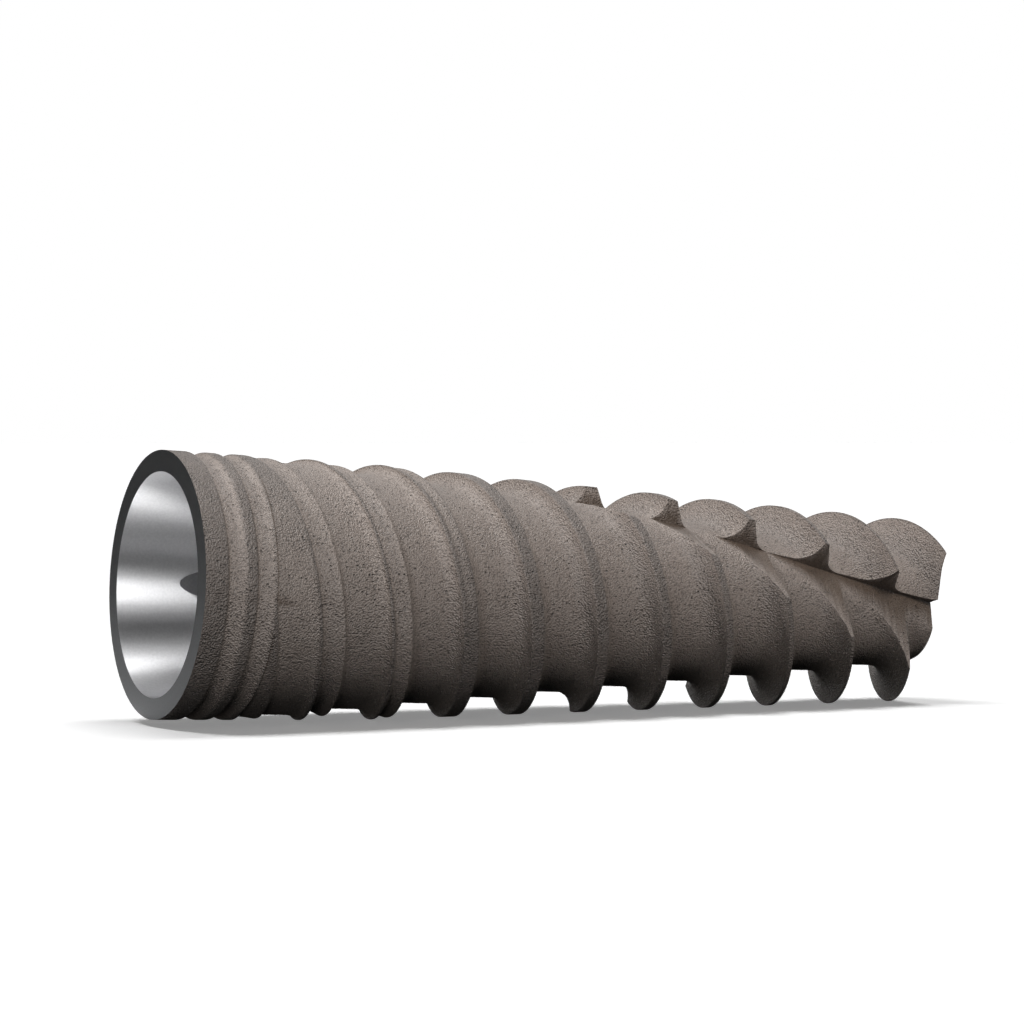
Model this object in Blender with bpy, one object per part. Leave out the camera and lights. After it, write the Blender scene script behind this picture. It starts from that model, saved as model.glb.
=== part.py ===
"""Tapered dental implant, one solid turned and thread-milled from a titanium bar.

The implant lies on its side on z = 0, resting on its thread crests, with the
platform towards -X and the apex towards +X. The origin is on the ground under
the middle of the implant. Lengths are in metres.

While it is being shaped the implant is upright in its own frame: z runs from
the platform (0) to the apex (LENGTH), and the angle turn runs around it from -X
through -Y. Turn 0 faces up and turn 90 degrees faces -Y once the implant lies down.
"""

import math

import bmesh
import bpy
from mathutils import Matrix, Vector

MM = 0.001
NODE_NAME = "implant_body"

# Overall size
PLATFORM_DIAMETER = 4.0 * MM
LENGTH = 13.04 * MM
COLLAR_SLOPE = 0.015
BODY_SLOPE = 0.0486
BODY_TAPER_START = 3.2 * MM

# Collar: a plain band and two ring grooves, each a drop and a long hollow rise
COLLAR_BAND = 0.35 * MM
RING_GROOVE_WIDTH = 0.31 * MM
RING_GROOVE_DEPTH = 0.09 * MM
RING_LAND = 0.15 * MM
RING_GROOVES = 2

# Double-start thread, right-handed
THREAD_STARTS = 2
THREAD_LEAD = 2.296 * MM
FIRST_CREST = 1.24 * MM
ROOT_DEPTH_AT_FIRST_CREST = 0.109 * MM
ROOT_SLOPE = 0.0949
CREST_WIDTH_AT_COLLAR = 0.40 * MM
CREST_WIDTH_ON_BODY = 0.256 * MM
CREST_WIDTH_AT_APEX = 0.014 * MM
CREST_NARROWS_FROM = 4.1 * MM
CREST_NARROWS_OVER = 8.2 * MM
COVE_LENGTH_SHALLOW = 0.18 * MM
COVE_LENGTH_PER_DEPTH = 0.28
FLANK_LEAN = math.radians(20.0)
ROOT_FILLET = 0.28 * MM
ROOT_FILLET_IN_SHALLOW_CUT = 1.1

# Micro-groove along the crest of the first turns
MICRO_GROOVE_DEPTH = 0.15 * MM
MICRO_GROOVE_STARTS = 0.70 * MM
MICRO_GROOVE_FULL_FROM = 2.1 * MM
MICRO_GROOVE_FULL_TO = 2.4 * MM
MICRO_GROOVE_ENDS = 4.3 * MM
MICRO_RIDGE_WIDTH = 0.05 * MM
MICRO_RIDGE_LEAD_IN = 0.07 * MM
MICRO_DROP_LENGTH = 0.05 * MM
SECOND_RIDGE_DROP = 0.36

# Two cutting flutes that run out of the apex
FLUTES = 2
FLUTE_LENGTH = 6.69 * MM
FLUTE_LEAD = 29.2 * MM
FLUTE_TURN_AT_APEX = math.radians(77.4)
FLUTE_FLOOR_AT_APEX = 0.717 * MM
FLUTE_FLOOR_SLOPE = 0.127

# Connection inside: cone, hexagonal index with round corners, screw bore
PLATFORM_WALL = 0.32 * MM
SEAT_HALF_ANGLE = math.radians(6.0)
SEAT_DEPTH = 1.5 * MM
INDEX_SIDES = 6
INDEX_ARCH_DEPTH = 0.98 * MM
INDEX_FLOOR_DEPTH = 2.4 * MM
INDEX_CORNER_ROUND = 0.43 * MM
SCREW_BORE_DIAMETER = 1.8 * MM
SCREW_BORE_DEPTH = 6.8 * MM
DRILL_POINT_HALF_ANGLE = math.radians(59.0)

# Finish
TITANIUM_COLOUR = (0.28, 0.24, 0.21, 1.0)
TITANIUM_ROUGHNESS = 0.75
TITANIUM_METALLIC = 0.25

# Facets
AROUND = 36
COVE_STEPS = (0.42, 0.74, 0.93)
FLANK_FILLET_SWINGS = (math.radians(43.0), math.radians(66.0))
MICRO_HOLLOW_STEPS = (0.5,)
RING_HOLLOW_STEPS = (0.0, 0.4, 0.72)
CORNER_STEPS = 4
FLUTE_STEPS = 22
SMALLEST_STEP = 0.035 * MM
SHORTEST_FLANK = 0.01 * MM
CUTTER_OVERRUN = 0.25 * MM
FLUTE_CUTTER_REACH = 2.6 * MM
INDEX_CUTTER_TOP = 0.5
SMOOTH_UNDER = math.radians(32.0)
MERGE_DISTANCE = 0.003 * MM

# Order of the rows down the skin. Columns are faced together where their rows match.
RING_ROWS = -2000
ROWS_BEFORE_THREAD = -999
ROWS_AFTER_THREAD = 999
PAST_LAST_ROW = (9999, 0)
CORONAL_EDGE = 0
GROOVE_DROP = 1
GROOVE_BOTTOM = 2
GROOVE_HOLLOW = 3
APICAL_EDGE = 10
FILLET_TOP = 11
FILLET = 12
VALLEY_START = 16
VALLEY_END = 17
COVE = 18

PLATFORM_RADIUS = PLATFORM_DIAMETER / 2
PITCH = THREAD_LEAD / THREAD_STARTS
RING_END = COLLAR_BAND + RING_GROOVES * RING_GROOVE_WIDTH + (RING_GROOVES - 1) * RING_LAND
MOUTH_RADIUS = PLATFORM_RADIUS - PLATFORM_WALL


def clamp01(value):
    return min(max(value, 0.0), 1.0)


def envelope_radius(z):
    """Radius of the turned blank, which the crests keep."""
    collar = PLATFORM_RADIUS - COLLAR_SLOPE * min(z, BODY_TAPER_START)
    return collar - BODY_SLOPE * max(z - BODY_TAPER_START, 0.0)


def root_radius(crest_z):
    """Radius of the valley that follows the crest at crest_z."""
    at_first_crest = PLATFORM_RADIUS - ROOT_DEPTH_AT_FIRST_CREST
    return at_first_crest - ROOT_SLOPE * (crest_z - FIRST_CREST)


def crest_width(crest_z):
    """Width of the land on top of the thread: wide at the collar, sharp at the apex."""
    if crest_z < CREST_NARROWS_FROM:
        share = (CREST_NARROWS_FROM - crest_z) / (CREST_NARROWS_FROM - FIRST_CREST)
        return CREST_WIDTH_ON_BODY + (CREST_WIDTH_AT_COLLAR - CREST_WIDTH_ON_BODY) * share
    share = clamp01((crest_z - CREST_NARROWS_FROM) / CREST_NARROWS_OVER)
    return CREST_WIDTH_ON_BODY + (CREST_WIDTH_AT_APEX - CREST_WIDTH_ON_BODY) * share


def micro_groove_depth(crest_z):
    """Depth of the groove on the crest, which fades in and out."""
    rise = (crest_z - MICRO_GROOVE_STARTS) / (MICRO_GROOVE_FULL_FROM - MICRO_GROOVE_STARTS)
    fall = (MICRO_GROOVE_ENDS - crest_z) / (MICRO_GROOVE_ENDS - MICRO_GROOVE_FULL_TO)
    return MICRO_GROOVE_DEPTH * min(clamp01(rise), clamp01(fall))


def hollow_rise(share):
    """Height of a quarter ellipse that starts level and ends upright."""
    return 1.0 - math.sqrt(1.0 - share * share)


def thread_section(crest_z):
    """Points (row, z, radius) from one crest's coronal edge to just before the next."""
    width = crest_width(crest_z)
    crest_radius = envelope_radius(crest_z)
    groove = micro_groove_depth(crest_z)
    presence = groove / MICRO_GROOVE_DEPTH
    start = crest_z - MICRO_RIDGE_LEAD_IN * presence
    apical_edge = crest_z + width
    floor = root_radius(crest_z)
    points = [(CORONAL_EDGE, start, envelope_radius(start))]
    if groove > 0.0:
        drop = start + MICRO_RIDGE_WIDTH
        bottom = drop + MICRO_DROP_LENGTH
        points.append((GROOVE_DROP, drop, envelope_radius(drop)))
        points.append((GROOVE_BOTTOM, bottom, crest_radius - groove))
        ridge_rise = groove * (1.0 - SECOND_RIDGE_DROP)
        for step, share in enumerate(MICRO_HOLLOW_STEPS):
            height = ridge_rise * share * share
            z = bottom + (apical_edge - bottom) * share
            points.append((GROOVE_HOLLOW + step, z, crest_radius - groove + height))
    apical_radius = envelope_radius(apical_edge) - groove * SECOND_RIDGE_DROP
    points.append((APICAL_EDGE, apical_edge, apical_radius))
    depth = apical_radius - floor
    fillet = min(ROOT_FILLET, depth * ROOT_FILLET_IN_SHALLOW_CUT)
    fillet_rise = fillet * (1.0 - math.sin(FLANK_LEAN))
    flank_length = (depth - fillet_rise) * math.tan(FLANK_LEAN)
    fillet_end = apical_edge + flank_length + fillet * math.cos(FLANK_LEAN)
    if flank_length > SHORTEST_FLANK:
        points.append((FILLET_TOP, apical_edge + flank_length, floor + fillet_rise))
    for step, swing in enumerate(FLANK_FILLET_SWINGS):
        z = fillet_end - fillet * math.cos(swing)
        points.append((FILLET + step, z, floor + fillet * (1.0 - math.sin(swing))))
    points.append((VALLEY_START, fillet_end, floor))
    next_crest = crest_z + PITCH
    next_presence = micro_groove_depth(next_crest) / MICRO_GROOVE_DEPTH
    next_start = next_crest - MICRO_RIDGE_LEAD_IN * next_presence
    next_depth = envelope_radius(next_start) - floor
    cove = COVE_LENGTH_SHALLOW + COVE_LENGTH_PER_DEPTH * next_depth
    points.append((VALLEY_END, next_start - cove, floor))
    for step, share in enumerate(COVE_STEPS):
        z = next_start - cove * (1.0 - share)
        points.append((COVE + step, z, floor + next_depth * hollow_rise(share)))
    return points


def column(turn):
    """All skin points of the threaded length at one angle, from collar to apex."""
    first = FIRST_CREST + PITCH * turn / math.pi
    crest = int(math.floor((RING_END - first) / PITCH)) - 1
    skin = []
    while first + PITCH * crest < LENGTH + PITCH:
        for row, z, radius in thread_section(first + PITCH * crest):
            skin.append(((crest, row), z, min(radius, envelope_radius(z))))
        crest += 1

    def radius_at(z):
        for before, after in zip(skin, skin[1:]):
            if before[1] <= z <= after[1]:
                share = (z - before[1]) / (after[1] - before[1])
                return before[2] + (after[2] - before[2]) * share
        raise ValueError("no skin at this height")

    begin = RING_END + SMALLEST_STEP
    kept = [point for point in skin if begin + SMALLEST_STEP < point[1] < LENGTH - SMALLEST_STEP]
    top = ((ROWS_BEFORE_THREAD, 0), RING_END, envelope_radius(RING_END))
    step = ((ROWS_BEFORE_THREAD, 1), begin, radius_at(begin))
    end = ((ROWS_AFTER_THREAD, 0), LENGTH, radius_at(LENGTH))
    return [top, step] + kept + [end]


def ring_rows():
    """Rows (z, radius) of the collar band and its ring grooves, above the thread."""
    rows = [(0.0, PLATFORM_RADIUS)]
    z = COLLAR_BAND
    for _ in range(RING_GROOVES):
        rows.append((z, envelope_radius(z)))
        bottom = z + MICRO_DROP_LENGTH
        hollow = RING_GROOVE_WIDTH - MICRO_DROP_LENGTH
        for share in RING_HOLLOW_STEPS:
            height = RING_GROOVE_DEPTH * share * share
            row_z = bottom + hollow * share
            rows.append((row_z, envelope_radius(row_z) - RING_GROOVE_DEPTH + height))
        z += RING_GROOVE_WIDTH
        rows.append((z, envelope_radius(z)))
        z += RING_LAND
    return rows[:-1]


def place(turn, z, radius):
    """A point of the upright implant."""
    return Vector((-radius * math.cos(turn), -radius * math.sin(turn), z))


def one_turn_back(key):
    """The same row as it is counted after a full turn, when each start has gained a lead."""
    crest, row = key
    if ROWS_BEFORE_THREAD < crest < ROWS_AFTER_THREAD:
        return (crest - THREAD_STARTS, row)
    return key


def zip_columns(mesh, left, right, left_verts, right_verts):
    """Face the strip between two columns, row by row, where both have the row."""
    i = 0
    j = 0
    while i < len(left) - 1 or j < len(right) - 1:
        next_left = left[i + 1] if i < len(left) - 1 else PAST_LAST_ROW
        next_right = right[j + 1] if j < len(right) - 1 else PAST_LAST_ROW
        if next_left == next_right:
            mesh.faces.new((left_verts[i], right_verts[j], right_verts[j + 1]))
            mesh.faces.new((left_verts[i], right_verts[j + 1], left_verts[i + 1]))
            i += 1
            j += 1
        elif next_left < next_right:
            mesh.faces.new((left_verts[i], right_verts[j], left_verts[i + 1]))
            i += 1
        else:
            mesh.faces.new((left_verts[i], right_verts[j], right_verts[j + 1]))
            j += 1


def build_screw_skin(mesh):
    """The closed outside: platform, collar rings, thread and apex face."""
    rings = ring_rows()
    columns = []
    for step in range(AROUND):
        turn = 2 * math.pi * (step + 0.5) / AROUND
        keys = []
        verts = []
        for row, (z, radius) in enumerate(rings):
            keys.append((RING_ROWS + row, 0))
            verts.append(mesh.verts.new(place(turn, z, radius)))
        for key, z, radius in column(turn):
            keys.append(key)
            verts.append(mesh.verts.new(place(turn, z, radius)))
        columns.append((keys, verts))
    for step in range(AROUND):
        left_keys, left_verts = columns[step]
        right_keys, right_verts = columns[(step + 1) % AROUND]
        if step == AROUND - 1:
            right_keys = [one_turn_back(key) for key in right_keys]
        zip_columns(mesh, left_keys, right_keys, left_verts, right_verts)
    mesh.faces.new([verts[0] for _, verts in columns])
    mesh.faces.new([verts[-1] for _, verts in reversed(columns)])
    bmesh.ops.triangulate(mesh, faces=[face for face in mesh.faces if len(face.verts) > 4])
    bmesh.ops.recalc_face_normals(mesh, faces=mesh.faces)


def spin_profile(mesh, profile):
    """Close a turned solid from a profile of (radius, z) that starts and ends on the axis."""
    start = mesh.verts.new((0.0, 0.0, profile[0][1]))
    end = mesh.verts.new((0.0, 0.0, profile[-1][1]))
    rows = []
    for radius, z in profile[1:-1]:
        turns = [2 * math.pi * (step + 0.5) / AROUND for step in range(AROUND)]
        rows.append([mesh.verts.new(place(turn, z, radius)) for turn in turns])
    for step in range(AROUND):
        after = (step + 1) % AROUND
        mesh.faces.new((start, rows[0][after], rows[0][step]))
        mesh.faces.new((end, rows[-1][step], rows[-1][after]))
        for above, below in zip(rows, rows[1:]):
            mesh.faces.new((above[step], above[after], below[after], below[step]))
    bmesh.ops.recalc_face_normals(mesh, faces=mesh.faces)


def seat_radius(z):
    return MOUTH_RADIUS - z * math.tan(SEAT_HALF_ANGLE)


def build_connection(mesh):
    """The turned part of the connection: conical seat and blind screw bore."""
    bore = SCREW_BORE_DIAMETER / 2
    drill_tip = SCREW_BORE_DEPTH + bore / math.tan(DRILL_POINT_HALF_ANGLE)
    spin_profile(mesh, [
        (0.0, -CUTTER_OVERRUN),
        (seat_radius(-CUTTER_OVERRUN), -CUTTER_OVERRUN),
        (seat_radius(SEAT_DEPTH), SEAT_DEPTH),
        (bore, SEAT_DEPTH),
        (bore, SCREW_BORE_DEPTH),
        (0.0, drill_tip),
    ])


def build_index(mesh):
    """The hexagonal index, whose round corners cut arches into the seat."""
    tip = seat_radius(INDEX_ARCH_DEPTH)
    half_side = math.pi / INDEX_SIDES
    centre = tip - INDEX_CORNER_ROUND
    outline = []
    for corner in range(INDEX_SIDES):
        middle = math.pi / 2 + corner * 2 * half_side
        for step in range(CORNER_STEPS + 1):
            swing = -half_side + 2 * half_side * step / CORNER_STEPS
            outline.append(place(middle, 0.0, centre) + place(middle + swing, 0.0, INDEX_CORNER_ROUND))
    top = INDEX_ARCH_DEPTH * INDEX_CUTTER_TOP
    upper = [mesh.verts.new(point + Vector((0.0, 0.0, top))) for point in outline]
    lower = [mesh.verts.new(point + Vector((0.0, 0.0, INDEX_FLOOR_DEPTH))) for point in outline]
    mesh.faces.new(upper)
    mesh.faces.new(list(reversed(lower)))
    for step in range(len(outline)):
        after = (step + 1) % len(outline)
        mesh.faces.new((upper[step], upper[after], lower[after], lower[step]))
    bmesh.ops.recalc_face_normals(mesh, faces=mesh.faces)


def flute_floor(z):
    """Distance from the axis to the flat floor of a flute."""
    return FLUTE_FLOOR_AT_APEX + FLUTE_FLOOR_SLOPE * (LENGTH - z)


def build_flute(mesh, number):
    """A helical cutter with a radial wall and a flat floor square to it."""
    reach = FLUTE_CUTTER_REACH
    begin = LENGTH - FLUTE_LENGTH
    run = FLUTE_LENGTH + CUTTER_OVERRUN
    sections = []
    for step in range(FLUTE_STEPS + 1):
        z = begin + run * step / FLUTE_STEPS
        turn = FLUTE_TURN_AT_APEX + 2 * math.pi * ((z - LENGTH) / FLUTE_LEAD + number / FLUTES)
        along_wall = place(turn, 0.0, 1.0)
        along_floor = place(turn + math.pi / 2, 0.0, 1.0)
        foot = along_wall * flute_floor(z) + Vector((0.0, 0.0, z))
        corners = (foot, foot + along_wall * reach, foot + (along_wall + along_floor) * reach,
                   foot + along_floor * reach)
        sections.append([mesh.verts.new(corner) for corner in corners])
    for above, below in zip(sections, sections[1:]):
        for side in range(4):
            after = (side + 1) % 4
            mesh.faces.new((above[side], above[after], below[after]))
            mesh.faces.new((above[side], below[after], below[side]))
    mesh.faces.new(list(reversed(sections[0])))
    mesh.faces.new(sections[-1])
    bmesh.ops.recalc_face_normals(mesh, faces=mesh.faces)


def new_object(name, build, *details):
    """An object whose mesh the given function builds."""
    mesh = bmesh.new()
    build(mesh, *details)
    data = bpy.data.meshes.new(name)
    mesh.to_mesh(data)
    mesh.free()
    made = bpy.data.objects.new(name, data)
    bpy.context.collection.objects.link(made)
    return made


def cut(target, cutter):
    """Subtract a cutter from the target and keep the cutter as a hidden guide."""
    cutter.hide_render = True
    cutter.display_type = "WIRE"
    modifier = target.modifiers.new(cutter.name, "BOOLEAN")
    modifier.operation = "DIFFERENCE"
    modifier.solver = "EXACT"
    modifier.object = cutter


def freeze(target):
    """Apply the cuts and clean up points that nearly coincide."""
    graph = bpy.context.evaluated_depsgraph_get()
    data = bpy.data.meshes.new_from_object(target.evaluated_get(graph))
    target.modifiers.clear()
    mesh = bmesh.new()
    mesh.from_mesh(data)
    bmesh.ops.remove_doubles(mesh, verts=mesh.verts, dist=MERGE_DISTANCE)
    bmesh.ops.dissolve_degenerate(mesh, edges=mesh.edges, dist=MERGE_DISTANCE / 2)
    bmesh.ops.triangulate(mesh, faces=mesh.faces)
    bmesh.ops.recalc_face_normals(mesh, faces=mesh.faces)
    mesh.to_mesh(data)
    mesh.free()
    target.data = data


def paint(target):
    """Rough etched titanium, brown-grey and matt."""
    material = bpy.data.materials.new("etched_titanium")
    material.use_nodes = True
    shader = material.node_tree.nodes["Principled BSDF"]
    shader.inputs["Base Color"].default_value = TITANIUM_COLOUR
    shader.inputs["Roughness"].default_value = TITANIUM_ROUGHNESS
    shader.inputs["Metallic"].default_value = TITANIUM_METALLIC
    target.data.materials.clear()
    target.data.materials.append(material)


def lay_down(target):
    """Turn the implant onto its crests, so that the cone of the crests meets the ground."""
    quarter_turn_and_lean = math.pi / 2 + math.atan(BODY_SLOPE)
    turned = Matrix.Rotation(quarter_turn_and_lean, 4, "Y")
    corners = [turned @ vertex.co for vertex in target.data.vertices]
    lowest = min(corner.z for corner in corners)
    across_x = [corner.x for corner in corners]
    across_y = [corner.y for corner in corners]
    middle_x = (min(across_x) + max(across_x)) / 2
    middle_y = (min(across_y) + max(across_y)) / 2
    target.rotation_euler = (0.0, quarter_turn_and_lean, 0.0)
    target.location = (-middle_x, -middle_y, -lowest)


def main():
    for old in list(bpy.data.objects):
        bpy.data.objects.remove(old)
    implant = new_object(NODE_NAME, build_screw_skin)
    cutters = [new_object("connection_cutter", build_connection),
               new_object("index_cutter", build_index)]
    for number in range(FLUTES):
        cutters.append(new_object("flute_cutter_%d" % (number + 1), build_flute, number))
    for cutter in cutters:
        cut(implant, cutter)
    freeze(implant)
    paint(implant)
    implant.data.shade_smooth()
    implant.data.set_sharp_from_angle(angle=SMOOTH_UNDER)
    lay_down(implant)


main()
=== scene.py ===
"""Looks of the dental implant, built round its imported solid.

The implant is shaped upright in its own frame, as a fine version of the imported
solid: z runs from the platform (0) to the apex (LENGTH), and the angle turn runs
around it. Then it is laid down where the solid lies. Lengths are in metres.
"""
import math

import bmesh
import bpy
import numpy as np
from mathutils import Matrix, Vector


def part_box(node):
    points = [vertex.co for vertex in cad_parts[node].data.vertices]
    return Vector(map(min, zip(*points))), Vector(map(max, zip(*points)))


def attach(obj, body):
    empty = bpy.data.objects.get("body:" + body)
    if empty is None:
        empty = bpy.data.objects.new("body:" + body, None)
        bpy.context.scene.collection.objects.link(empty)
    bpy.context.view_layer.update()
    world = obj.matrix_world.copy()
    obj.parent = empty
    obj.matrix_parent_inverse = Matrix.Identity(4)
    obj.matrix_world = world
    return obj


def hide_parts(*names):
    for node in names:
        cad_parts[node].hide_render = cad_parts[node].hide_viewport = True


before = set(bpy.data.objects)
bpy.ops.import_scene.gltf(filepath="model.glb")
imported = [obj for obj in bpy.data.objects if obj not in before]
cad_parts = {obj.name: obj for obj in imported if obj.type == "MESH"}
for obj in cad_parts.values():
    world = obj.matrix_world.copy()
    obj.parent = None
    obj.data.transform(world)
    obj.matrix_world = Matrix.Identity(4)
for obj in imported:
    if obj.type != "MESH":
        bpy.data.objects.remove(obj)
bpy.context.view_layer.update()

MM = 0.001

# Sizes of the solid
PLATFORM_RADIUS = 2.0 * MM
LENGTH = 13.04 * MM
COLLAR_SLOPE = 0.015
BODY_SLOPE = 0.0486
BODY_TAPER_START = 3.2 * MM
COLLAR_BAND = 0.35 * MM
RING_GROOVE_WIDTH = 0.31 * MM
RING_GROOVE_DEPTH = 0.09 * MM
RING_LAND = 0.15 * MM
RING_GROOVES = 2
THREAD_STARTS = 2
THREAD_LEAD = 2.296 * MM
FIRST_CREST = 1.24 * MM
ROOT_DEPTH_AT_FIRST_CREST = 0.109 * MM
ROOT_SLOPE = 0.0949
CREST_WIDTH_AT_COLLAR = 0.40 * MM
CREST_WIDTH_ON_BODY = 0.256 * MM
CREST_WIDTH_AT_APEX = 0.014 * MM
CREST_NARROWS_FROM = 4.1 * MM
CREST_NARROWS_OVER = 8.2 * MM
COVE_LENGTH_SHALLOW = 0.18 * MM
COVE_LENGTH_PER_DEPTH = 0.28
FLANK_LEAN = math.radians(20.0)
ROOT_FILLET = 0.28 * MM
ROOT_FILLET_IN_SHALLOW_CUT = 1.1
MICRO_GROOVE_DEPTH = 0.15 * MM
MICRO_GROOVE_STARTS = 0.70 * MM
MICRO_GROOVE_FULL_FROM = 2.1 * MM
MICRO_GROOVE_FULL_TO = 2.4 * MM
MICRO_GROOVE_ENDS = 4.3 * MM
MICRO_RIDGE_WIDTH = 0.05 * MM
MICRO_RIDGE_LEAD_IN = 0.07 * MM
MICRO_DROP_LENGTH = 0.05 * MM
SECOND_RIDGE_DROP = 0.36
FLUTES = 2
FLUTE_LENGTH = 6.69 * MM
FLUTE_LEAD = 29.2 * MM
FLUTE_TURN_AT_APEX = math.radians(77.4)
FLUTE_FLOOR_AT_APEX = 0.717 * MM
FLUTE_FLOOR_SLOPE = 0.127
PLATFORM_WALL = 0.32 * MM
SEAT_HALF_ANGLE = math.radians(6.0)
SEAT_DEPTH = 1.5 * MM
INDEX_SIDES = 6
INDEX_ARCH_DEPTH = 0.98 * MM
INDEX_FLOOR_DEPTH = 2.4 * MM
INDEX_CORNER_ROUND = 0.43 * MM
SCREW_BORE_DIAMETER = 1.8 * MM
SCREW_BORE_DEPTH = 6.8 * MM
DRILL_POINT_HALF_ANGLE = math.radians(59.0)

# Sizes that only the looks have
EDGE_ROUND = 0.022 * MM
APICAL_EDGE_ROUND = 0.03 * MM
FINE_EDGE_ROUND = 0.02 * MM
INNER_THREAD_PITCH = 0.35 * MM
INNER_THREAD_DEPTH = 0.13 * MM
INNER_THREAD_STARTS_AT = 2.9 * MM
INNER_THREAD_ENDS_AT = 6.2 * MM

# Fineness
AROUND = 160
AROUND_BORE = 120
SEAT_STEPS = 12
INNER_THREAD_STEPS_PER_PITCH = 6
COVE_STEPS = 10
FILLET_STEPS = 6
HOLLOW_STEPS = 6
CORNER_STEPS = 3
INDEX_CORNER_STEPS = 10
FLUTE_STEPS = 60
SMALLEST_STEP = 0.004 * MM
FOOT_REACH = 0.04 * MM
CUTTER_OVERRUN = 0.25 * MM
FLUTE_CUTTER_REACH = 2.6 * MM
INDEX_CUTTER_TOP_SHARE = 0.5
SMOOTH_UNDER = math.radians(38.0)
MERGE_DISTANCE = 0.0005 * MM
INDEX_CLEAR_OF_SEAT = 0.01 * MM
SHORTEST_MEASURED_EDGE = 0.002 * MM
FULL_BEND = 0.6

# Material slots
COATING_SLOT = 0
RING_SLOT = 1
BORE_SLOT = 2
INDEX_SLOT = 3

# Order of the rows down the skin
ROWS_BEFORE_THREAD = -999
ROWS_AFTER_THREAD = 999
PAST_LAST_ROW = (9999, 0)

PITCH = THREAD_LEAD / THREAD_STARTS
RING_END = COLLAR_BAND + RING_GROOVES * RING_GROOVE_WIDTH + (RING_GROOVES - 1) * RING_LAND
MOUTH_RADIUS = PLATFORM_RADIUS - PLATFORM_WALL

# Etched coating
WRINKLES_PER_MM = 40.0
WRINKLE_HEIGHT = 0.040 * MM
PITS_PER_MM = 14.0
PIT_DEPTH = 0.020 * MM
PATCHES_PER_MM = 1.5
TINTS_PER_MM = 4.0
COATING_DARK = (0.202, 0.165, 0.143)
COATING_PALE = (0.230, 0.192, 0.168)
# Painted shade at the feet of grooves
GROOVE_FOOT_SHADE = (0.075, 0.050, 0.033)
COATING_ROUGHNESS = 0.6
COATING_SPECULAR = 0.85

# Bare metal
# Painted shade: the ring's and the index's titanium is darkened well below the bore's
RING_SHADED_DARK = (0.152, 0.154, 0.157)
RING_SHADED_PALE = (0.175, 0.177, 0.180)
RING_EDGE_TINT = 0.3
INDEX_SHADED_DARK = (0.30, 0.30, 0.31)
INDEX_SHADED_PALE = (0.36, 0.36, 0.37)
INDEX_EDGE_TINT = 1.0
TURNED_ROUGHNESS = 0.42
BORE_DARK = (0.64, 0.64, 0.65)
BORE_PALE = (0.72, 0.72, 0.73)
BORE_ROUGHNESS = 0.45
TOOL_MARKS_STRETCH = 0.95
TOOL_MARKS_TURN = 0.25
TURNED_MOTTLES_PER_MM = 30.0
BORE_MOTTLES_PER_MM = 26.0

# Floor and sky
FLOOR_SIZE = 8.0
FLOOR_DROP = 0.0001 * MM
FLOOR_PALE = 1.0
FLOOR_GLOW = 0.24
FLOOR_BOUNCE = 0.04
SKY_STRENGTH = 0.03
SKY_AT_HORIZON = 0.02
SKY_FULL_FROM_HEIGHT = 0.35

# Cards that only reflections see, in millimetres
CARD_BLACK = 0.01
BESIDE_PLATFORM = (-60.0, -6.7)
BEHIND_PLATFORM = (-30.0, -2.0)
BESIDE_BODY = (-6.6, 60.0)
ON_FLOOR = 0.02
CARDS_FRONT = -40.0
CARDS_TOP = 40.0

# Lamps, with their softness in degrees
FLOOR_LAMP_STRENGTH = 1.3
FLOOR_LAMP_SOFTNESS = 22.0
IMPLANT_LAMP_SOFTNESS = 25.0

# Camera, from the photograph
CAMERA_PLACE = Vector((-26.534, -52.987, 4.253)) * MM
CAMERA_FORWARD = Vector((0.43915, 0.89821, -0.01902))
FOCAL_LENGTH = 134.09
SENSOR_WIDTH = 36.0
CLIP_START = 1.0 * MM
CLIP_END = 20.0


def clamp01(value):
    return min(max(value, 0.0), 1.0)


def envelope_radius(z):
    """Radius of the turned blank, which the crests keep."""
    collar = PLATFORM_RADIUS - COLLAR_SLOPE * min(z, BODY_TAPER_START)
    return collar - BODY_SLOPE * max(z - BODY_TAPER_START, 0.0)


def root_radius(crest_z):
    """Radius of the valley that follows the crest at crest_z."""
    at_first_crest = PLATFORM_RADIUS - ROOT_DEPTH_AT_FIRST_CREST
    return at_first_crest - ROOT_SLOPE * (crest_z - FIRST_CREST)


def crest_width(crest_z):
    """Width of the land on top of the thread: wide at the collar, sharp at the apex."""
    if crest_z < CREST_NARROWS_FROM:
        share = (CREST_NARROWS_FROM - crest_z) / (CREST_NARROWS_FROM - FIRST_CREST)
        return CREST_WIDTH_ON_BODY + (CREST_WIDTH_AT_COLLAR - CREST_WIDTH_ON_BODY) * share
    share = clamp01((crest_z - CREST_NARROWS_FROM) / CREST_NARROWS_OVER)
    return CREST_WIDTH_ON_BODY + (CREST_WIDTH_AT_APEX - CREST_WIDTH_ON_BODY) * share


def micro_groove_depth(crest_z):
    """Depth of the groove on the crest, which fades in and out."""
    rise = (crest_z - MICRO_GROOVE_STARTS) / (MICRO_GROOVE_FULL_FROM - MICRO_GROOVE_STARTS)
    fall = (MICRO_GROOVE_ENDS - crest_z) / (MICRO_GROOVE_ENDS - MICRO_GROOVE_FULL_TO)
    return MICRO_GROOVE_DEPTH * min(clamp01(rise), clamp01(fall))


def crest_start(crest_z):
    """Where the crest's land begins: the micro-groove's ridge widens it towards the collar."""
    return crest_z - MICRO_RIDGE_LEAD_IN * micro_groove_depth(crest_z) / MICRO_GROOVE_DEPTH


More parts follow.
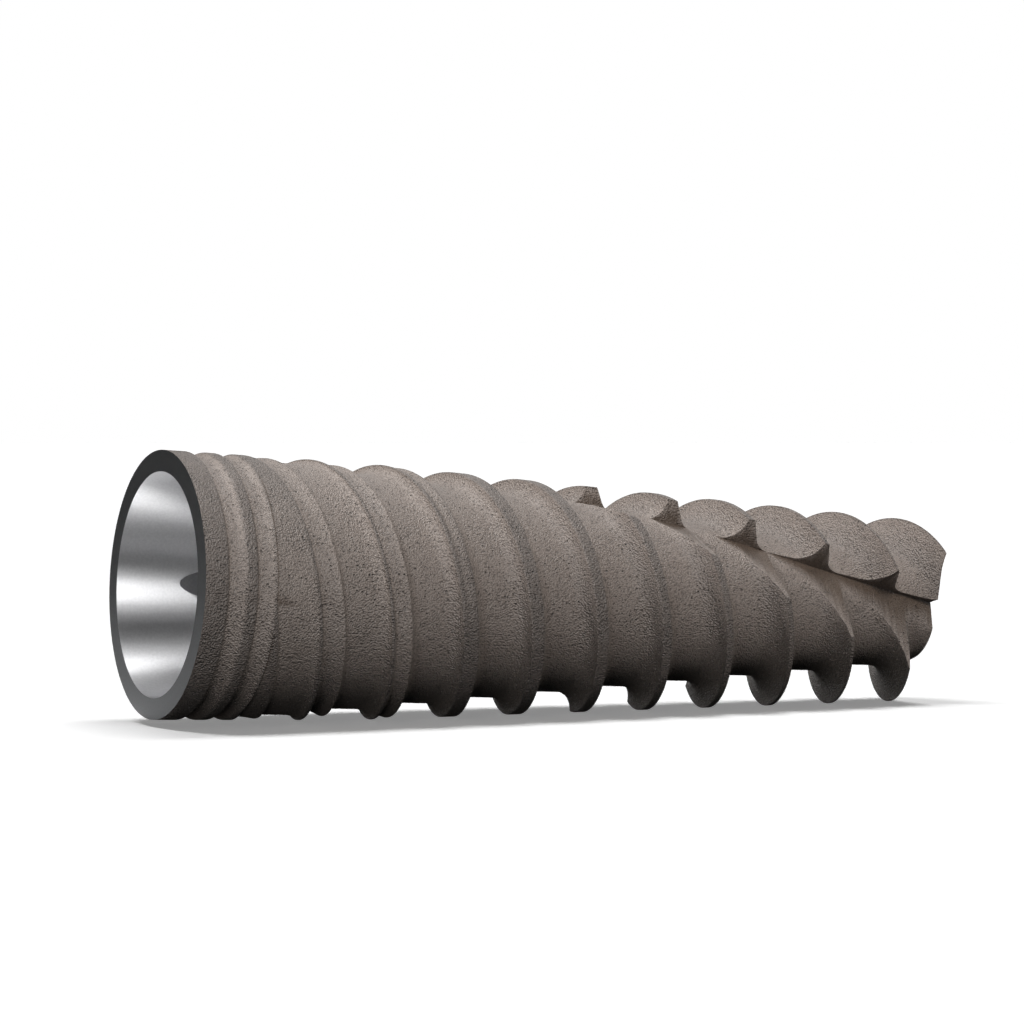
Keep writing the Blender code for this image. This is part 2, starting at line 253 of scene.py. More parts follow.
def thread_section(crest_z):
    """Corners (z, radius, rounding) from the valley before a crest to the valley after it."""
    start = crest_start(crest_z)
    crest_radius = envelope_radius(crest_z)
    groove = micro_groove_depth(crest_z)
    apical_edge = crest_z + crest_width(crest_z)
    floor_before = root_radius(crest_z - PITCH)
    floor_after = root_radius(crest_z)
    rise = envelope_radius(start) - floor_before
    cove = COVE_LENGTH_SHALLOW + COVE_LENGTH_PER_DEPTH * rise
    corners = []
    for step in range(COVE_STEPS):
        swing = math.pi / 2 * step / COVE_STEPS
        z = start - cove * (1.0 - math.sin(swing))
        corners.append((z, floor_before + rise * (1.0 - math.cos(swing)), 0.0))
    corners.append((start, envelope_radius(start), EDGE_ROUND))
    drop = start + MICRO_RIDGE_WIDTH
    bottom = drop + MICRO_DROP_LENGTH
    groove_floor = crest_radius - groove
    if apical_edge > bottom + 2 * EDGE_ROUND:
        corners.append((drop, envelope_radius(drop), FINE_EDGE_ROUND))
        corners.append((bottom, groove_floor, FINE_EDGE_ROUND / 2))
        ridge_rise = groove * (1.0 - SECOND_RIDGE_DROP)
        for step in range(1, HOLLOW_STEPS):
            share = step / HOLLOW_STEPS
            z = bottom + (apical_edge - bottom) * share
            corners.append((z, groove_floor + ridge_rise * share * share, 0.0))
    else:
        for step in range(1, HOLLOW_STEPS + 2):
            share = step / (HOLLOW_STEPS + 2)
            z = start + (apical_edge - start) * share
            corners.append((z, envelope_radius(z), 0.0))
    apical_radius = envelope_radius(apical_edge) - groove * SECOND_RIDGE_DROP
    corners.append((apical_edge, apical_radius, APICAL_EDGE_ROUND))
    depth = apical_radius - floor_after
    fillet = min(ROOT_FILLET, depth * ROOT_FILLET_IN_SHALLOW_CUT)
    fillet_rise = fillet * (1.0 - math.sin(FLANK_LEAN))
    flank_length = (depth - fillet_rise) * math.tan(FLANK_LEAN)
    fillet_end = apical_edge + flank_length + fillet * math.cos(FLANK_LEAN)
    for step in range(FILLET_STEPS + 1):
        swing = FLANK_LEAN + (math.pi / 2 - FLANK_LEAN) * step / FILLET_STEPS
        z = fillet_end - fillet * math.cos(swing)
        corners.append((z, floor_after + fillet * (1.0 - math.sin(swing)), 0.0))
    return corners


def rounded(corners):
    """Points (row, z, radius) of a path whose corners are rounded where they say so.

    A rounding takes at most half of each side of its corner.
    """
    points = []
    for place_in_path, (z, radius, rounding) in enumerate(corners):
        here = Vector((z, radius))
        if rounding == 0.0:
            points.append((place_in_path * (CORNER_STEPS + 1), here))
            continue
        before = Vector(corners[place_in_path - 1][:2]) - here
        after = Vector(corners[place_in_path + 1][:2]) - here
        come = here + before * min(rounding / before.length, 0.5)
        go = here + after * min(rounding / after.length, 0.5)
        for step in range(CORNER_STEPS + 1):
            share = step / CORNER_STEPS
            point = come.lerp(here, share).lerp(here.lerp(go, share), share)
            points.append((place_in_path * (CORNER_STEPS + 1) + step, point))
    return [(row, point.x, point.y) for row, point in points]


def column(turn):
    """All skin points of the threaded length at one angle, from collar to apex."""
    first = FIRST_CREST + PITCH * turn / math.pi
    crest = int(math.floor((RING_END - first) / PITCH)) - 1
    skin = []
    while first + PITCH * crest < LENGTH + PITCH:
        for row, z, radius in rounded(thread_section(first + PITCH * crest)):
            skin.append(((crest, row), z, min(radius, envelope_radius(z))))
        crest += 1

    def radius_at(z):
        for before, after in zip(skin, skin[1:]):
            if before[1] <= z <= after[1]:
                share = (z - before[1]) / (after[1] - before[1])
                return before[2] + (after[2] - before[2]) * share
        raise ValueError("no skin at this height")

    begin = RING_END + SMALLEST_STEP
    foot = begin + FOOT_REACH
    kept = [point for point in skin if foot + SMALLEST_STEP < point[1] < LENGTH - SMALLEST_STEP]
    top = ((ROWS_BEFORE_THREAD, 0), RING_END, envelope_radius(RING_END))
    step = ((ROWS_BEFORE_THREAD, 1), begin, radius_at(begin))
    past_step = ((ROWS_BEFORE_THREAD, 2), foot, radius_at(foot))
    end = ((ROWS_AFTER_THREAD, 0), LENGTH, radius_at(LENGTH))
    return [top, step, past_step] + kept + [end]


def ring_rows():
    """Rows (z, radius) of the collar band and its ring grooves, up to where column() starts."""
    corners = [(0.0, PLATFORM_RADIUS, 0.0)]
    z = COLLAR_BAND
    for groove in range(RING_GROOVES):
        corners.append((z, envelope_radius(z), FINE_EDGE_ROUND))
        bottom = z + MICRO_DROP_LENGTH
        hollow = RING_GROOVE_WIDTH - MICRO_DROP_LENGTH
        for step in range(HOLLOW_STEPS):
            share = step / HOLLOW_STEPS
            row_z = bottom + hollow * share
            height = RING_GROOVE_DEPTH * share * share
            rounding = 0.0 if step else FINE_EDGE_ROUND / 2
            corners.append((row_z, envelope_radius(row_z) - RING_GROOVE_DEPTH + height, rounding))
        z += RING_GROOVE_WIDTH
        if groove < RING_GROOVES - 1:
            corners.append((z, envelope_radius(z), EDGE_ROUND))
        z += RING_LAND
    corners.append((RING_END, envelope_radius(RING_END), 0.0))
    return [(z, radius) for _, z, radius in rounded(corners)][:-1]


def place(turn, z, radius):
    """A point of the upright implant."""
    return Vector((-radius * math.cos(turn), -radius * math.sin(turn), z))


def one_turn_back(key):
    """The same row as it is counted after a full turn, when each start has gained a lead."""
    crest, row = key
    if ROWS_BEFORE_THREAD < crest < ROWS_AFTER_THREAD:
        return (crest - THREAD_STARTS, row)
    return key


def zip_columns(mesh, left, right, left_verts, right_verts):
    """Face the strip between two columns, row by row, where both have the row."""
    i = 0
    j = 0
    while i < len(left) - 1 or j < len(right) - 1:
        next_left = left[i + 1] if i < len(left) - 1 else PAST_LAST_ROW
        next_right = right[j + 1] if j < len(right) - 1 else PAST_LAST_ROW
        if next_left == next_right:
            mesh.faces.new((left_verts[i], right_verts[j], right_verts[j + 1], left_verts[i + 1]))
            i += 1
            j += 1
        elif next_left < next_right:
            mesh.faces.new((left_verts[i], right_verts[j], left_verts[i + 1]))
            i += 1
        else:
            mesh.faces.new((left_verts[i], right_verts[j], right_verts[j + 1]))
            j += 1


def build_screw_skin(mesh):
    """The closed outside: platform, collar rings, thread and apex face."""
    rings = ring_rows()
    columns = []
    for step in range(AROUND):
        turn = 2 * math.pi * step / AROUND
        keys = []
        verts = []
        for row, (z, radius) in enumerate(rings):
            keys.append((ROWS_BEFORE_THREAD - len(rings) + row, 0))
            verts.append(mesh.verts.new(place(turn, z, radius)))
        for key, z, radius in column(turn):
            keys.append(key)
            verts.append(mesh.verts.new(place(turn, z, radius)))
        columns.append((keys, verts))
    for step in range(AROUND):
        left_keys, left_verts = columns[step]
        right_keys, right_verts = columns[(step + 1) % AROUND]
        if step == AROUND - 1:
            right_keys = [one_turn_back(key) for key in right_keys]
        zip_columns(mesh, left_keys, right_keys, left_verts, right_verts)
    mesh.faces.new([verts[0] for _, verts in columns])
    mesh.faces.new([verts[-1] for _, verts in reversed(columns)])
    bmesh.ops.recalc_face_normals(mesh, faces=mesh.faces)


def spin_rows(mesh, rows):
    """Close a turned solid from rows (z, radius at a turn) between two points on the axis."""
    start = mesh.verts.new((0.0, 0.0, rows[0][0]))
    end = mesh.verts.new((0.0, 0.0, rows[-1][0]))
    turns = [2 * math.pi * step / AROUND_BORE for step in range(AROUND_BORE)]
    rings = []
    for z, radius in rows[1:-1]:
        rings.append([mesh.verts.new(place(turn, z, radius(turn))) for turn in turns])
    for step in range(AROUND_BORE):
        after = (step + 1) % AROUND_BORE
        mesh.faces.new((start, rings[0][after], rings[0][step]))
        mesh.faces.new((end, rings[-1][step], rings[-1][after]))
        for above, below in zip(rings, rings[1:]):
            mesh.faces.new((above[step], above[after], below[after], below[step]))
    bmesh.ops.recalc_face_normals(mesh, faces=mesh.faces)


def seat_radius(z):
    return MOUTH_RADIUS - z * math.tan(SEAT_HALF_ANGLE)


def inner_thread_radius(z, turn):
    """Radius of the screw bore's wall, with its fine inner thread."""
    bore = SCREW_BORE_DIAMETER / 2
    into = clamp01((z - INNER_THREAD_STARTS_AT) / INNER_THREAD_PITCH)
    out = clamp01((INNER_THREAD_ENDS_AT - z) / INNER_THREAD_PITCH)
    phase = (z / INNER_THREAD_PITCH - turn / (2 * math.pi)) % 1.0
    return bore + INNER_THREAD_DEPTH * min(into, out) * (1.0 - abs(2.0 * phase - 1.0))


def constant(radius):
    return lambda turn: radius


def build_connection(mesh):
    """The turned part of the connection: conical seat, blind screw bore and inner thread."""
    bore = SCREW_BORE_DIAMETER / 2
    rows = [(-CUTTER_OVERRUN, None),
            (-CUTTER_OVERRUN, constant(seat_radius(-CUTTER_OVERRUN)))]
    for step in range(SEAT_STEPS + 1):
        z = SEAT_DEPTH * step / SEAT_STEPS
        rows.append((z, constant(seat_radius(z))))
    rows.append((SEAT_DEPTH, constant(bore)))
    threaded = INNER_THREAD_ENDS_AT - INNER_THREAD_STARTS_AT
    steps = int(threaded / INNER_THREAD_PITCH * INNER_THREAD_STEPS_PER_PITCH)
    for step in range(steps + 1):
        z = INNER_THREAD_STARTS_AT + threaded * step / steps
        rows.append((z, lambda turn, z=z: inner_thread_radius(z, turn)))
    rows.append((SCREW_BORE_DEPTH, constant(bore)))
    rows.append((SCREW_BORE_DEPTH + bore / math.tan(DRILL_POINT_HALF_ANGLE), None))
    spin_rows(mesh, rows)


def build_index(mesh):
    """The hexagonal index, whose round corners cut arches into the seat."""
    tip = seat_radius(INDEX_ARCH_DEPTH)
    half_side = math.pi / INDEX_SIDES
    centre = tip - INDEX_CORNER_ROUND
    outline = []
    for corner in range(INDEX_SIDES):
        middle = math.pi / 2 + corner * 2 * half_side
        for step in range(INDEX_CORNER_STEPS + 1):
            swing = -half_side + 2 * half_side * step / INDEX_CORNER_STEPS
            corner_centre = place(middle, 0.0, centre)
            outline.append(corner_centre + place(middle + swing, 0.0, INDEX_CORNER_ROUND))
    top = INDEX_ARCH_DEPTH * INDEX_CUTTER_TOP_SHARE
    upper = [mesh.verts.new(point + Vector((0.0, 0.0, top))) for point in outline]
    lower = [mesh.verts.new(point + Vector((0.0, 0.0, INDEX_FLOOR_DEPTH))) for point in outline]
    mesh.faces.new(upper)
    mesh.faces.new(list(reversed(lower)))
    for step in range(len(outline)):
        after = (step + 1) % len(outline)
        mesh.faces.new((upper[step], upper[after], lower[after], lower[step]))
    bmesh.ops.recalc_face_normals(mesh, faces=mesh.faces)


def flute_floor(z):
    """Distance from the axis to the flat floor of a flute."""
    return FLUTE_FLOOR_AT_APEX + FLUTE_FLOOR_SLOPE * (LENGTH - z)


def build_flute(mesh, number):
    """A helical cutter with a radial wall and a flat floor square to it."""
    reach = FLUTE_CUTTER_REACH
    begin = LENGTH - FLUTE_LENGTH
    run = FLUTE_LENGTH + CUTTER_OVERRUN
    sections = []
    for step in range(FLUTE_STEPS + 1):
        z = begin + run * step / FLUTE_STEPS
        turn = FLUTE_TURN_AT_APEX + 2 * math.pi * ((z - LENGTH) / FLUTE_LEAD + number / FLUTES)
        along_wall = place(turn, 0.0, 1.0)
        along_floor = place(turn + math.pi / 2, 0.0, 1.0)
        foot = along_wall * flute_floor(z) + Vector((0.0, 0.0, z))
        corners = (foot, foot + along_wall * reach, foot + (along_wall + along_floor) * reach,
                   foot + along_floor * reach)
        sections.append([mesh.verts.new(corner) for corner in corners])
    for above, below in zip(sections, sections[1:]):
        for side in range(4):
            after = (side + 1) % 4
            mesh.faces.new((above[side], above[after], below[after]))
            mesh.faces.new((above[side], below[after], below[side]))
    mesh.faces.new(list(reversed(sections[0])))
    mesh.faces.new(sections[-1])
    bmesh.ops.recalc_face_normals(mesh, faces=mesh.faces)


def new_object(name, build, *details):
    """An object whose mesh the given function builds."""
    mesh = bmesh.new()
    build(mesh, *details)
    data = bpy.data.meshes.new(name)
    mesh.to_mesh(data)
    mesh.free()
    made = bpy.data.objects.new(name, data)
    bpy.context.scene.collection.objects.link(made)
    return made


def cut(target, cutter):
    """Subtract a cutter from the target for good, and throw the cutter away."""
    modifier = target.modifiers.new(cutter.name, "BOOLEAN")
    modifier.operation = "DIFFERENCE"
    modifier.solver = "EXACT"
    modifier.object = cutter
    graph = bpy.context.evaluated_depsgraph_get()
    data = bpy.data.meshes.new_from_object(target.evaluated_get(graph))
    target.modifiers.clear()
    target.data = data
    bpy.data.objects.remove(cutter)


def tidy_mesh(target):
    """Merge points that coincide after the cuts."""
    mesh = bmesh.new()
    mesh.from_mesh(target.data)
    bmesh.ops.remove_doubles(mesh, verts=mesh.verts, dist=MERGE_DISTANCE)
    bmesh.ops.dissolve_degenerate(mesh, edges=mesh.edges, dist=MERGE_DISTANCE / 2)
    bmesh.ops.recalc_face_normals(mesh, faces=mesh.faces)
    mesh.to_mesh(target.data)
    mesh.free()


def in_connection(centre):
    """Whether a face's centre, in the upright frame, lies on the wall of the bore."""
    if centre.z > SCREW_BORE_DEPTH + SCREW_BORE_DIAMETER / 2:
        return False
    limit = MOUTH_RADIUS
    if centre.z > INDEX_FLOOR_DEPTH + MERGE_DISTANCE:
        limit = SCREW_BORE_DIAMETER / 2 + INNER_THREAD_DEPTH + MERGE_DISTANCE
    return math.hypot(centre.x, centre.y) < limit


def in_index(centre):
    """Whether a face's centre, in the bore, lies on the wall of the index."""
    off_axis = math.hypot(centre.x, centre.y)
    outside_seat = off_axis > seat_radius(centre.z) + INDEX_CLEAR_OF_SEAT
    return centre.z < INDEX_FLOOR_DEPTH and (outside_seat or centre.z > SEAT_DEPTH)


def paint(target, coating, ring, bore, index):
    """Coating outside, bare metal darkened as painted shade on the ring and the index, bright metal in
    the bore.
    """
    data = target.data
    data.materials.clear()
    for material in (coating, ring, bore, index):
        data.materials.append(material)
    for face in data.polygons:
        centre = face.center
        if centre.z < MERGE_DISTANCE:
            face.material_index = RING_SLOT
        elif not in_connection(centre):
            face.material_index = COATING_SLOT
        elif in_index(centre):
            face.material_index = INDEX_SLOT
        else:
            face.material_index = BORE_SLOT


def mark_hollows(target):
    """Store how sharply the skin turns inward at each point: 1 at the foot of a groove."""
    data = target.data
    count = len(data.vertices)
    places = np.empty(count * 3)
    data.vertices.foreach_get("co", places)
    places = places.reshape(-1, 3)
    normals = np.empty(count * 3)
    data.vertex_normals.foreach_get("vector", normals)
    normals = normals.reshape(-1, 3)
    edges = np.empty(len(data.edges) * 2, dtype=np.int32)
    data.edges.foreach_get("vertices", edges)
    edges = edges.reshape(-1, 2)
    bend = np.zeros(count)
    for near, far in ((edges[:, 0], edges[:, 1]), (edges[:, 1], edges[:, 0])):
        step = places[far] - places[near]
        length = np.linalg.norm(step, axis=1)
        rise = (step * normals[near]).sum(axis=1) / length
        known = length > SHORTEST_MEASURED_EDGE
        np.maximum.at(bend, near[known], rise[known])
    marks = data.attributes.new("hollow", "FLOAT", "POINT")
    marks.data.foreach_set("value", np.clip(bend / FULL_BEND, 0.0, 1.0))


def mark_depth(target):
    """Store how far each point lies under the turned blank, in millimetres."""
    data = target.data
    depths = [max(envelope_radius(point.co.z) - math.hypot(point.co.x, point.co.y), 0.0) / MM
              for point in data.vertices]
    marks = data.attributes.new("depth", "FLOAT", "POINT")
    marks.data.foreach_set("value", depths)


def mark_upright(target):
    """Store each point's place in the upright frame, in millimetres, for the textures."""
    data = target.data
    places = np.empty(len(data.vertices) * 3)
    data.vertices.foreach_get("co", places)
    marks = data.attributes.new("upright", "FLOAT_VECTOR", "POINT")
    marks.data.foreach_set("vector", places / MM)


def lay_down(target):
    """Turn the implant onto its crests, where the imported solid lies."""
    low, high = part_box("implant_body")
    quarter_turn_and_lean = math.pi / 2 + math.atan(BODY_SLOPE)
    target.data.transform(Matrix.Rotation(quarter_turn_and_lean, 4, "Y"))
    corners = [vertex.co for vertex in target.data.vertices]
    across_x = [corner.x for corner in corners]
    across_y = [corner.y for corner in corners]
    lowest = min(corner.z for corner in corners)
    shift = Vector(((low.x + high.x - min(across_x) - max(across_x)) / 2,
                    (low.y + high.y - min(across_y) - max(across_y)) / 2,
                    low.z - lowest))
    target.data.transform(Matrix.Translation(shift))


# Materials

# Colour sockets of a Mix node
MIX_SHARE = 0
MIX_FIRST = 6
MIX_SECOND = 7
MIX_RESULT = 2


class Nodes:
    """A short way to add and link shader nodes."""

    def __init__(self, tree):
        self.tree = tree

    def add(self, kind, values=None, links=None, **settings):
        """A node with its settings, its sockets' values and what is linked to its sockets."""
        node = self.tree.nodes.new(kind)
        for name, value in settings.items():
            setattr(node, name, value)
        for socket, value in (values or {}).items():
            node.inputs[socket].default_value = value
        for socket, source in (links or {}).items():
            self.tree.links.new(source, node.inputs[socket])
        return node

    def ramp(self, source, stops):
        """Colours by stops (position, colour), two or more, in order."""
        node = self.add("ShaderNodeValToRGB", links={"Fac": source})
        elements = node.color_ramp.elements
        while len(elements) < len(stops):
            elements.new(0.5)
        for element, (position, colour) in zip(elements, stops):
            element.position = position
            element.color = (*colour, 1.0)
        return node.outputs["Color"]

    def mix(self, share, first, second, blend_type="MIX"):
        """Two colours mixed, where each can be a colour or a socket, and so can the share."""
        node = self.add("ShaderNodeMix", data_type="RGBA", blend_type=blend_type)
        for socket, value in ((MIX_SHARE, share), (MIX_FIRST, first), (MIX_SECOND, second)):
            if isinstance(value, bpy.types.NodeSocket):
                self.tree.links.new(value, node.inputs[socket])
            elif socket == MIX_SHARE:
                node.inputs[socket].default_value = value
            else:
                node.inputs[socket].default_value = (*value, 1.0)
        return node.outputs[MIX_RESULT]


def new_material(name):
    material = bpy.data.materials.new(name)
    material.use_nodes = True
    return material, Nodes(material.node_tree), material.node_tree.nodes["Principled BSDF"]


def upright_place(nodes):
    """Place on the upright implant, one unit to the millimetre."""
    return nodes.add("ShaderNodeAttribute", attribute_name="upright").outputs["Vector"]


def grey(value):
    return (value, value, value)


def stored_number(nodes, name):
    """A number stored at each point of the mesh."""
    return nodes.add("ShaderNodeAttribute", attribute_name=name).outputs["Fac"]


def noise(nodes, where, scale, detail, roughness):
    values = {"Scale": scale, "Detail": detail, "Roughness": roughness}
    return nodes.add("ShaderNodeTexNoise", values, {"Vector": where}).outputs["Fac"]


def coating_material():
    """Blasted and etched titanium: brown-grey, matt, wrinkled and pitted."""
    material, nodes, shader = new_material("etched_titanium")
    where = upright_place(nodes)
    wrinkles = noise(nodes, where, WRINKLES_PER_MM, 0.0, 0.5)
    patches = noise(nodes, where, PATCHES_PER_MM, 2.0, 0.5)
    tint = noise(nodes, where, TINTS_PER_MM, 3.0, 0.6)
    cells = nodes.add("ShaderNodeTexVoronoi", {"Scale": PITS_PER_MM}, {"Vector": where})
    pits = nodes.ramp(cells.outputs["Distance"], [(0.06, grey(0.0)), (0.26, grey(1.0))])
    hollow = stored_number(nodes, "hollow")
    depth = stored_number(nodes, "depth")

    # The tint varies at random; painted shade darkens the wrinkles' low places and the crests' lands,
    # and turns the feet of grooves dark brown
    colour = nodes.ramp(tint, [(0.30, COATING_DARK), (0.70, COATING_PALE)])
    # Painted shade: the wrinkles' low places are darkened
    low = nodes.ramp(wrinkles, [(0.30, grey(0.60)), (0.46, grey(1.0)), (0.66, grey(1.06))])
    colour = nodes.mix(1.0, colour, low, "MULTIPLY")
    # Painted shade: the lands on the turned blank are darkened against the lit coves
    land = nodes.ramp(depth, [(0.0, grey(0.60)), (0.03, grey(1.0))])
    colour = nodes.mix(1.0, colour, land, "MULTIPLY")
    # Painted shade: dark brown where the skin turns sharply inward, at the feet of grooves
    groove_foot_shading = nodes.ramp(hollow, [(0.1, grey(0.0)), (0.7, grey(0.85))])
    colour = nodes.mix(groove_foot_shading, colour, GROOVE_FOOT_SHADE)
    nodes.tree.links.new(colour, shader.inputs["Base Color"])
    shader.inputs["Roughness"].default_value = COATING_ROUGHNESS
    shader.inputs["Specular IOR Level"].default_value = COATING_SPECULAR

    # The wrinkles are stronger in patches, and weaker in the grooves than on the lands
    strength = nodes.ramp(patches, [(0.35, grey(0.6)), (0.65, grey(1.0))])
    weaker = nodes.ramp(depth, [(0.0, grey(1.0)), (0.04, grey(0.75))])
    strength = nodes.mix(1.0, strength, weaker, "MULTIPLY")
    wrinkled = nodes.add("ShaderNodeBump", {"Distance": WRINKLE_HEIGHT},
                         {"Height": wrinkles, "Strength": strength})
    pitted = nodes.add("ShaderNodeBump", {"Strength": 1.0, "Distance": PIT_DEPTH},
                       {"Height": pits, "Normal": wrinkled.outputs["Normal"]})
    nodes.tree.links.new(pitted.outputs["Normal"], shader.inputs["Normal"])
    return material


def metal_material(name, mottles_per_mm, dark, pale, roughness):
    """Bare titanium with a slight mottle. Its nodes and shader come back too, for more settings."""
    material, nodes, shader = new_material(name)
    mottle = noise(nodes, upright_place(nodes), mottles_per_mm, 3.0, 0.5)
    nodes.tree.links.new(nodes.ramp(mottle, [(0.3, dark), (0.7, pale)]), shader.inputs["Base Color"])
    shader.inputs["Metallic"].default_value = 1.0
    shader.inputs["Roughness"].default_value = roughness
    return material, nodes, shader


def turned_material(name, dark, pale, edge_tint):
    """Fine-turned titanium, even, with its colour darkened as painted shade."""
    material, _, shader = metal_material(name, TURNED_MOTTLES_PER_MM, dark, pale, TURNED_ROUGHNESS)
    shader.inputs["Specular Tint"].default_value = (*grey(edge_tint), 1.0)
    return material


def bore_material():
    """Machined titanium in the bore: bright, with fine tool marks that run around it."""
    material, nodes, shader = metal_material("machined_bore", BORE_MOTTLES_PER_MM, BORE_DARK, BORE_PALE,
                                             BORE_ROUGHNESS)
    shader.inputs["Anisotropic"].default_value = TOOL_MARKS_STRETCH
    shader.inputs["Anisotropic Rotation"].default_value = TOOL_MARKS_TURN
    tangent = nodes.add("ShaderNodeTangent", direction_type="RADIAL", axis="X")
    nodes.tree.links.new(tangent.outputs["Tangent"], shader.inputs["Tangent"])
    return material


# Stage

def seen_rays(nodes):
    """1 for rays from the camera, off gloss and through glass, 0 for the light's other bounces."""
    path = nodes.add("ShaderNodeLightPath")
    seen = nodes.add("ShaderNodeMath", operation="ADD", use_clamp=True)
    nodes.tree.links.new(path.outputs["Is Camera Ray"], seen.inputs[0])
    nodes.tree.links.new(path.outputs["Is Glossy Ray"], seen.inputs[1])
    either = nodes.add("ShaderNodeMath", operation="ADD", use_clamp=True)
    nodes.tree.links.new(seen.outputs[0], either.inputs[0])
    nodes.tree.links.new(path.outputs["Is Transmission Ray"], either.inputs[1])
    return either.outputs[0]


def floor_material():
    """White to the camera where it is lit, grey where the object shades it."""
    material = bpy.data.materials.new("white_floor")
    material.use_nodes = True
    nodes = Nodes(material.node_tree)
    material.node_tree.nodes.remove(material.node_tree.nodes["Principled BSDF"])
    pale = nodes.add("ShaderNodeBsdfDiffuse", {"Color": (*grey(FLOOR_PALE), 1.0)})
    glow = nodes.add("ShaderNodeEmission", {"Color": (1.0, 1.0, 1.0, 1.0), "Strength": FLOOR_GLOW})
    seen = nodes.add("ShaderNodeAddShader")
    nodes.tree.links.new(pale.outputs[0], seen.inputs[0])
    nodes.tree.links.new(glow.outputs[0], seen.inputs[1])
    dim = nodes.add("ShaderNodeBsdfDiffuse", {"Color": (*grey(FLOOR_BOUNCE), 1.0)})
    choice = nodes.add("ShaderNodeMixShader")
    nodes.tree.links.new(seen_rays(nodes), choice.inputs[0])
    nodes.tree.links.new(dim.outputs[0], choice.inputs[1])
    nodes.tree.links.new(seen.outputs[0], choice.inputs[2])
    output = material.node_tree.nodes["Material Output"]
    nodes.tree.links.new(choice.outputs[0], output.inputs["Surface"])
    return material


def build_floor():
    """A wide white floor just under the crests."""
    mesh = bpy.data.meshes.new("floor")
    half = FLOOR_SIZE / 2
    mesh.from_pydata([(-half, -half, 0.0), (half, -half, 0.0), (half, half, 0.0), (-half, half, 0.0)],
                     [], [(0, 1, 2, 3)])
    floor = bpy.data.objects.new("floor", mesh)
    bpy.context.scene.collection.objects.link(floor)
    floor.location.z = -FLOOR_DROP
    mesh.materials.append(floor_material())
    return floor


def build_world():
    """White to the camera and to metal, and a faint sky for the rest."""
    world = bpy.data.worlds.new("studio")
    bpy.context.scene.world = world
    world.use_nodes = True
    nodes = Nodes(world.node_tree)
    background = world.node_tree.nodes["Background"]
    direction = nodes.add("ShaderNodeTexCoord").outputs["Generated"]
    height = nodes.add("ShaderNodeSeparateXYZ", links={"Vector": direction}).outputs["Z"]
    sky = nodes.ramp(height, [(0.0, grey(SKY_AT_HORIZON)),
                              (SKY_FULL_FROM_HEIGHT, grey(SKY_STRENGTH)),
                              (1.0, grey(SKY_STRENGTH))])
    colour = nodes.mix(seen_rays(nodes), sky, grey(1.0))
    nodes.tree.links.new(colour, background.inputs["Color"])
    background.inputs["Strength"].default_value = 1.0
    world.cycles.sampling_method = "NONE"


def build_card(name, along, low, high, glow=0.0):
    """A card that only reflections see, black or glowing, in millimetres.

    It runs along X between the two ends of along, from the edge low (y, z) to the edge high.
    """
    left, right = along
    corners = [(left, *low), (right, *low), (right, *high), (left, *high)]
    mesh = bpy.data.meshes.new(name)
    mesh.from_pydata([Vector(corner) * MM for corner in corners], [], [(0, 1, 2, 3)])
    material, _, shader = new_material(name)
    shader.inputs["Base Color"].default_value = (*grey(CARD_BLACK), 1.0)
    shader.inputs["Specular IOR Level"].default_value = 0.0
    shader.inputs["Emission Color"].default_value = (*grey(1.0), 1.0)
    shader.inputs["Emission Strength"].default_value = glow
    mesh.materials.append(material)
    card = bpy.data.objects.new(name, mesh)
    bpy.context.scene.collection.objects.link(card)
    card.visible_camera = False
    card.visible_diffuse = False
    card.visible_transmission = False
    card.visible_shadow = False


def aim(target, forward):
    target.rotation_mode = "QUATERNION"
    target.rotation_quaternion = forward.to_track_quat("-Z", "Y")


def build_sun(name, toward, strength, softness, lit, blocker, shines):
    """A lamp far away whose light goes toward a direction, onto one object.

    The blocker is the one object that shades it, and shines says whether gloss shows the lamp.
    """
    light = bpy.data.lights.new(name, "SUN")
    light.energy = strength
    light.angle = math.radians(softness)
    made = bpy.data.objects.new(name, light)
    bpy.context.scene.collection.objects.link(made)
    aim(made, Vector(toward).normalized())
    made.visible_glossy = shines
    for use, member in (("receiver_collection", lit), ("blocker_collection", blocker)):
        group = bpy.data.collections.new(name + "_" + use)
        group.objects.link(member)
        setattr(made.light_linking, use, group)


def build_camera():
    camera = bpy.data.cameras.new("camera")
    camera.lens = FOCAL_LENGTH
    camera.sensor_width = SENSOR_WIDTH
    camera.clip_start = CLIP_START
    camera.clip_end = CLIP_END
    made = bpy.data.objects.new("camera", camera)
    bpy.context.scene.collection.objects.link(made)
    made.location = CAMERA_PLACE
    aim(made, CAMERA_FORWARD)
    bpy.context.scene.camera = made


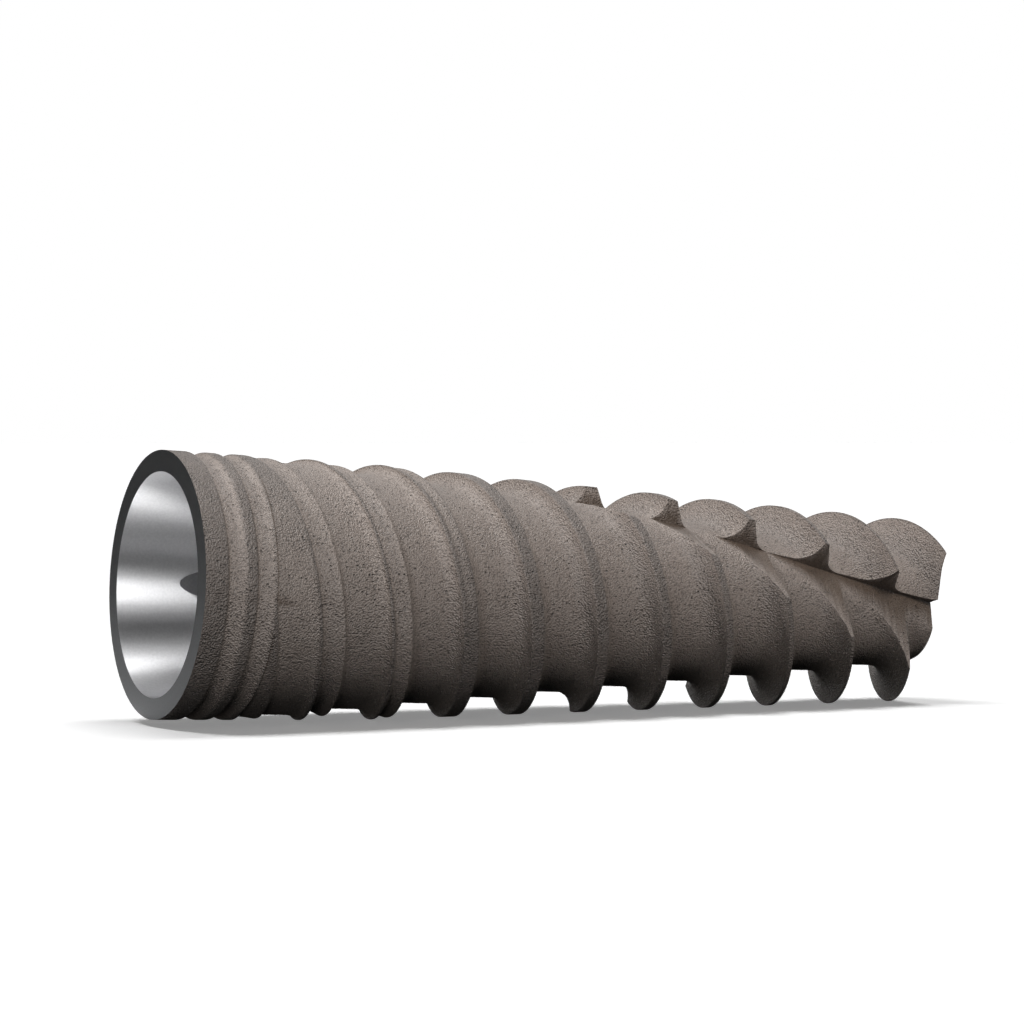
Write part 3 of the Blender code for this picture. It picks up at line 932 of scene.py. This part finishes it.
def build_implant():
    implant = new_object("implant", build_screw_skin)
    cut(implant, new_object("connection_cutter", build_connection))
    cut(implant, new_object("index_cutter", build_index))
    for number in range(FLUTES):
        cut(implant, new_object("flute_cutter", build_flute, number))
    tidy_mesh(implant)
    ring = turned_material("turned_ring_shaded", RING_SHADED_DARK, RING_SHADED_PALE, RING_EDGE_TINT)
    index = turned_material("milled_index_shaded", INDEX_SHADED_DARK, INDEX_SHADED_PALE, INDEX_EDGE_TINT)
    paint(implant, coating_material(), ring, bore_material(), index)
    mark_hollows(implant)
    mark_depth(implant)
    mark_upright(implant)
    implant.data.shade_smooth()
    implant.data.set_sharp_from_angle(angle=SMOOTH_UNDER)
    lay_down(implant)
    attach(implant, "root")
    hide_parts("implant_body")
    return implant


implant = build_implant()
floor = build_floor()
build_world()

# Black cards keep the white world out of the bore's dark bands, off the platform's ring and off
# the coating's front
build_card("flag_low", BESIDE_PLATFORM, (-8.5, ON_FLOOR), (1.1, ON_FLOOR))
build_card("flag_high", BESIDE_PLATFORM, (-16.0, 14.0), (-9.0, 26.0))
build_card("flag_back", BEHIND_PLATFORM, (9.0, 1.5), (9.0, CARDS_TOP))
build_card("flag_front", BESIDE_BODY, (CARDS_FRONT, 0.0), (CARDS_FRONT, 50.0))
build_card("flag_under", BESIDE_BODY, (CARDS_FRONT, ON_FLOOR), (4.0, ON_FLOOR))

# Glowing strips make the bore's bright bands
build_card("strip_front", BESIDE_PLATFORM, (CARDS_FRONT, 0.5), (CARDS_FRONT, 17.0), glow=6.0)
build_card("strip_front_low", BESIDE_PLATFORM, (CARDS_FRONT, ON_FLOOR), (-9.0, ON_FLOOR), glow=1.1)
build_card("strip_top", BESIDE_PLATFORM, (-4.0, CARDS_TOP), (5.0, CARDS_TOP), glow=5.6)
build_card("strip_top_back", BESIDE_PLATFORM, (5.0, CARDS_TOP), (30.0, CARDS_TOP), glow=3.2)
build_card("strip_low", BESIDE_PLATFORM, (1.1, ON_FLOOR), (2.4, ON_FLOOR), glow=5.2)

# Two lamps make the floor's shadow, and four light the implant
for name, toward in (("overhead_left", (-0.27, -0.2, -1.0)), ("overhead_right", (0.30, -0.2, -1.0))):
    build_sun(name, toward, FLOOR_LAMP_STRENGTH, FLOOR_LAMP_SOFTNESS, floor, implant, False)
for name, toward, strength, shines in (("key", (0.13, 0.80, -0.59), 2.4, False),
                                       ("left", (0.93, 0.0, -0.37), 2.6, False),
                                       ("rear", (0.13, -0.22, -0.97), 1.25, True),
                                       ("low", (0.85, 0.49, 0.17), 0.25, False)):
    build_sun(name, toward, strength, IMPLANT_LAMP_SOFTNESS, implant, implant, shines)
build_camera()
bpy.context.scene.view_settings.view_transform = "Standard"
